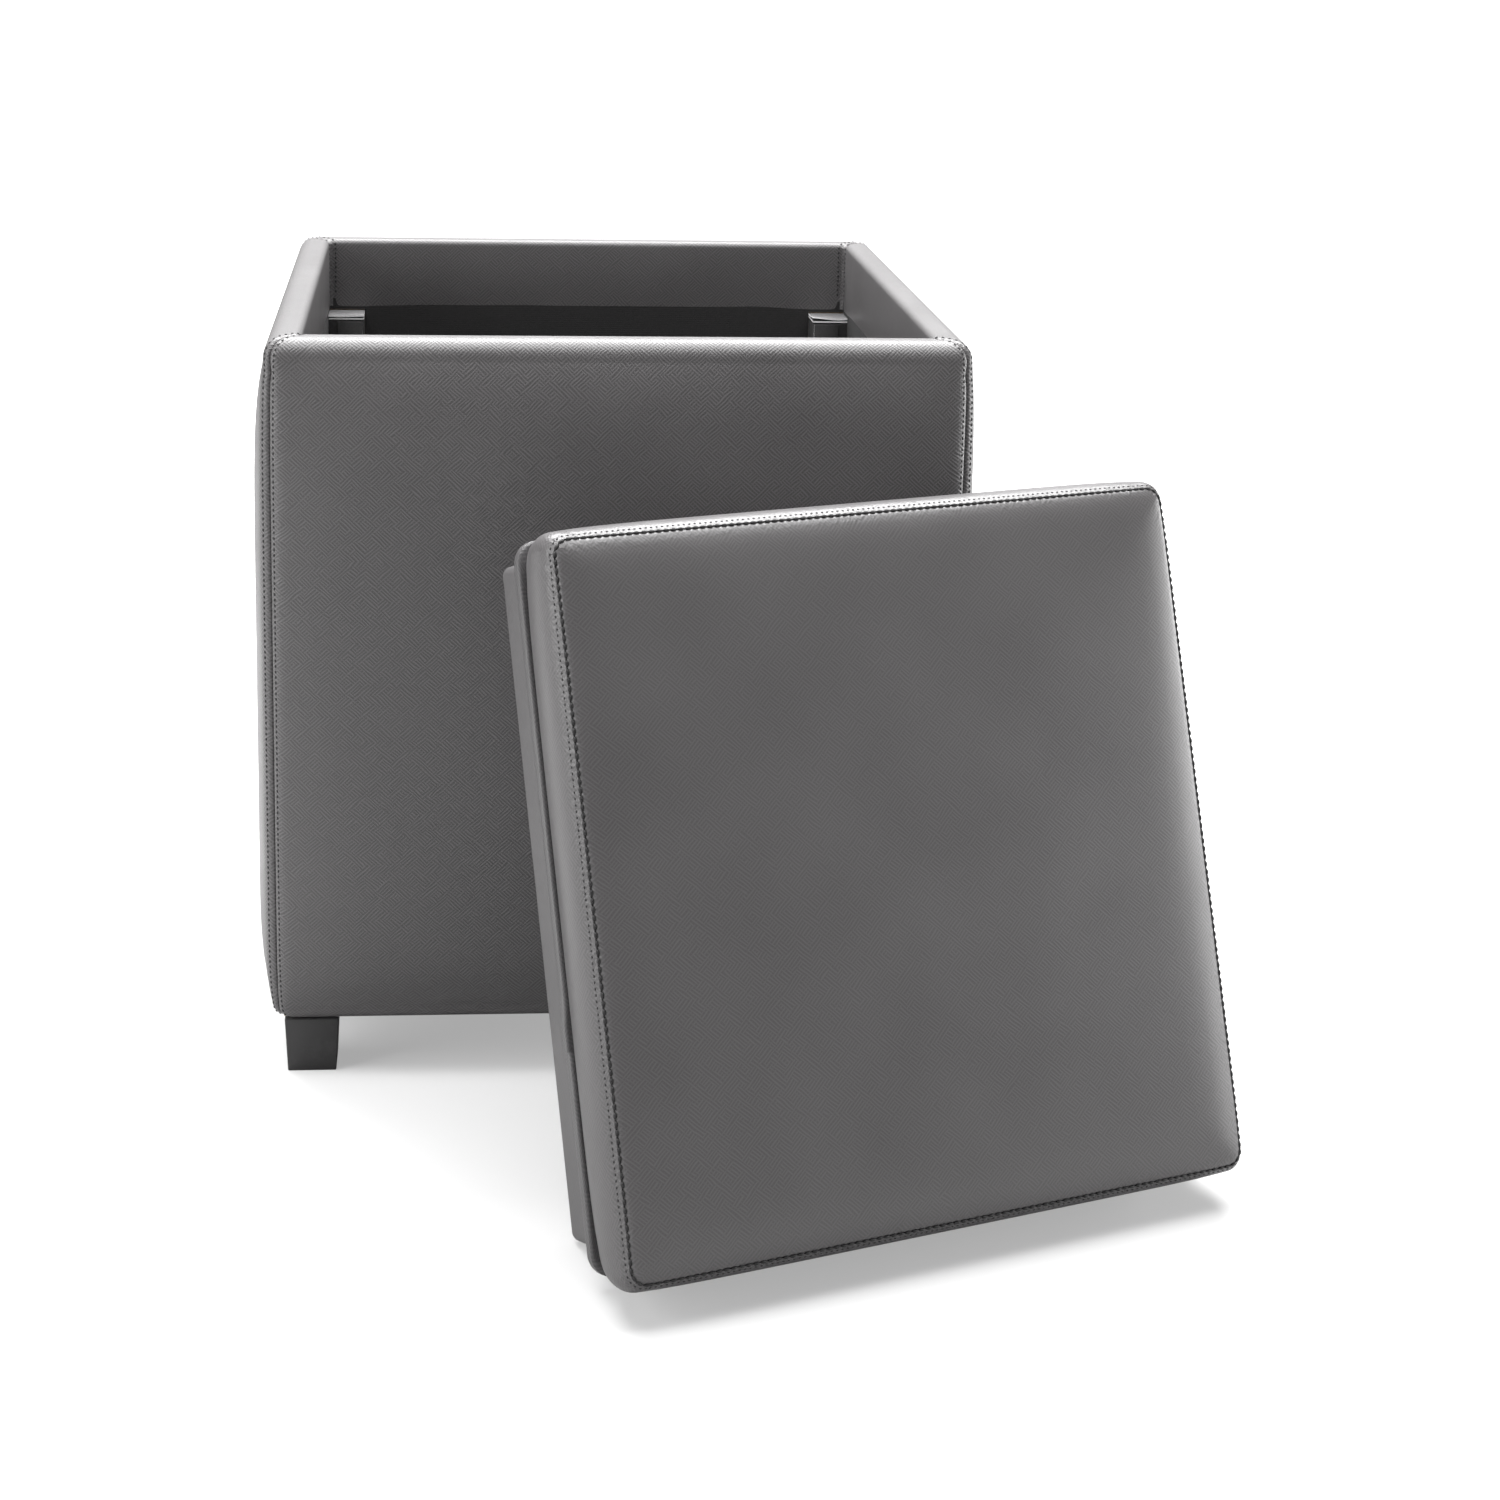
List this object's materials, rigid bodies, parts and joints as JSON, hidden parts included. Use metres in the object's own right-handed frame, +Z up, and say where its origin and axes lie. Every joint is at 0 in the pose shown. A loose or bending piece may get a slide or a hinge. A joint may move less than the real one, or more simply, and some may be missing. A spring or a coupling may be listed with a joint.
{
  "type": "storage ottoman",
  "caption": "Square padded storage ottoman on short block feet, with a lift-off cushioned lid that leans against its front corner.",
  "frame": {"origin": "on the floor, under the middle of the box and the leaning lid taken together", "axes": "+Z up; -Y towards the front, the side the lid leans on; +X to the right of a person facing the front"},
  "size_m": [0.5086, 0.6612, 0.42],
  "materials": {
    "plywood": "raw plywood",
    "softwood": "raw softwood",
    "black_cloth_wrap": "softwood post, wrapped black",
    "grey_cap_cloth": "folded non-woven cloth",
    "foam": "open-cell polyurethane foam",
    "grey_vinyl": "imitation leather, cross-hatch embossed, satin",
    "black_lining": "black non-woven cloth",
    "zinc_steel": "zinc plated",
    "black_foot": "moulded, satin black"
  },
  "bodies": {
    "box": {"back_board": "plywood", "back_cover": "grey_vinyl", "back_foam_pad": "foam", "back_lining": "black_lining", "bottom_board": "plywood", "bottom_staples": "zinc_steel", "corner_post_back_left": "black_cloth_wrap", "corner_post_back_right": "black_cloth_wrap", "corner_post_front_left": "black_cloth_wrap", "corner_post_front_right": "black_cloth_wrap", "floor_lining": "black_lining", "foot_back_left": "black_foot", "foot_back_right": "black_foot", "foot_front_left": "black_foot", "foot_front_right": "black_foot", "foot_studs": "zinc_steel", "front_board": "plywood", "front_cover": "grey_vinyl", "front_foam_pad": "foam", "front_lining": "black_lining", "left_board": "plywood", "left_cover": "grey_vinyl", "left_foam_pad": "foam", "left_lining": "black_lining", "panel_screws": "zinc_steel", "post_cap_back_left": "grey_cap_cloth", "post_cap_back_right": "grey_cap_cloth", "post_cap_front_left": "grey_cap_cloth", "post_cap_front_right": "grey_cap_cloth", "right_board": "plywood", "right_cover": "grey_vinyl", "right_foam_pad": "foam", "right_lining": "black_lining", "underside_cloth": "black_lining"},
    "lid": {"lid_base_band": "grey_vinyl", "lid_board": "plywood", "lid_boxing": "grey_vinyl", "lid_foam": "foam", "lid_screws": "zinc_steel", "lid_staples": "zinc_steel", "lid_top_panel": "grey_vinyl", "lid_underside_cloth": "black_lining", "plug_cover": "grey_vinyl", "plug_rail_back": "softwood", "plug_rail_front": "softwood", "plug_rail_left": "softwood", "plug_rail_right": "softwood"}
  },
  "joints": [
    {"name": "lid_lift", "type": "slide", "parent": "box", "child": "lid", "axis": [0.303, -0.8951, 0.3272], "range_m": [0, 0.25]}
  ]
}
